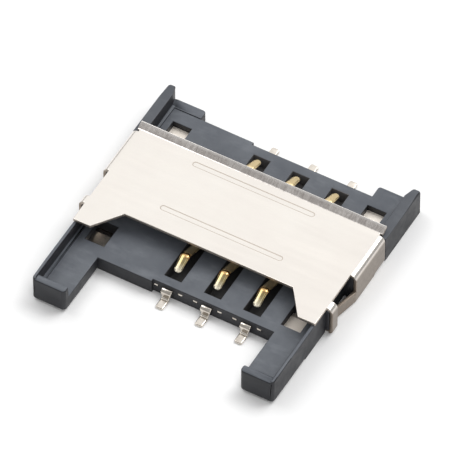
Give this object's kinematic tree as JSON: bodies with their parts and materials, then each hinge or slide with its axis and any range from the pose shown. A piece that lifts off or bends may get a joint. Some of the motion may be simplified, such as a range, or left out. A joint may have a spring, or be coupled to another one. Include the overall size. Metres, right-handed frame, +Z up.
{
  "type": "sim card socket",
  "caption": "Low-profile board socket for a small chip card: moulded housing with spring contacts in two rows under a folded metal cover, open at the back and front.",
  "frame": {"origin": "on the board face, on the card's centre line, midway between the two contact rows", "axes": "+X along the contact rows, +Y towards the card mouth under the flared lip, +Z up from the board"},
  "size_m": [0.0164, 0.0164, 0.0024],
  "materials": {
    "housing_plastic": "moulded, dark blue-grey, satin",
    "cover_sheet": "plated sheet, pale satin",
    "contact_strip": "gold on the blades, tin on the tails"
  },
  "bodies": {
    "root": {"housing": "housing_plastic", "cover": "cover_sheet", "contact_front_left": "contact_strip", "contact_front_middle": "contact_strip", "contact_front_right": "contact_strip", "contact_back_left": "contact_strip", "contact_back_middle": "contact_strip", "contact_back_right": "contact_strip"}
  },
  "joints": []
}
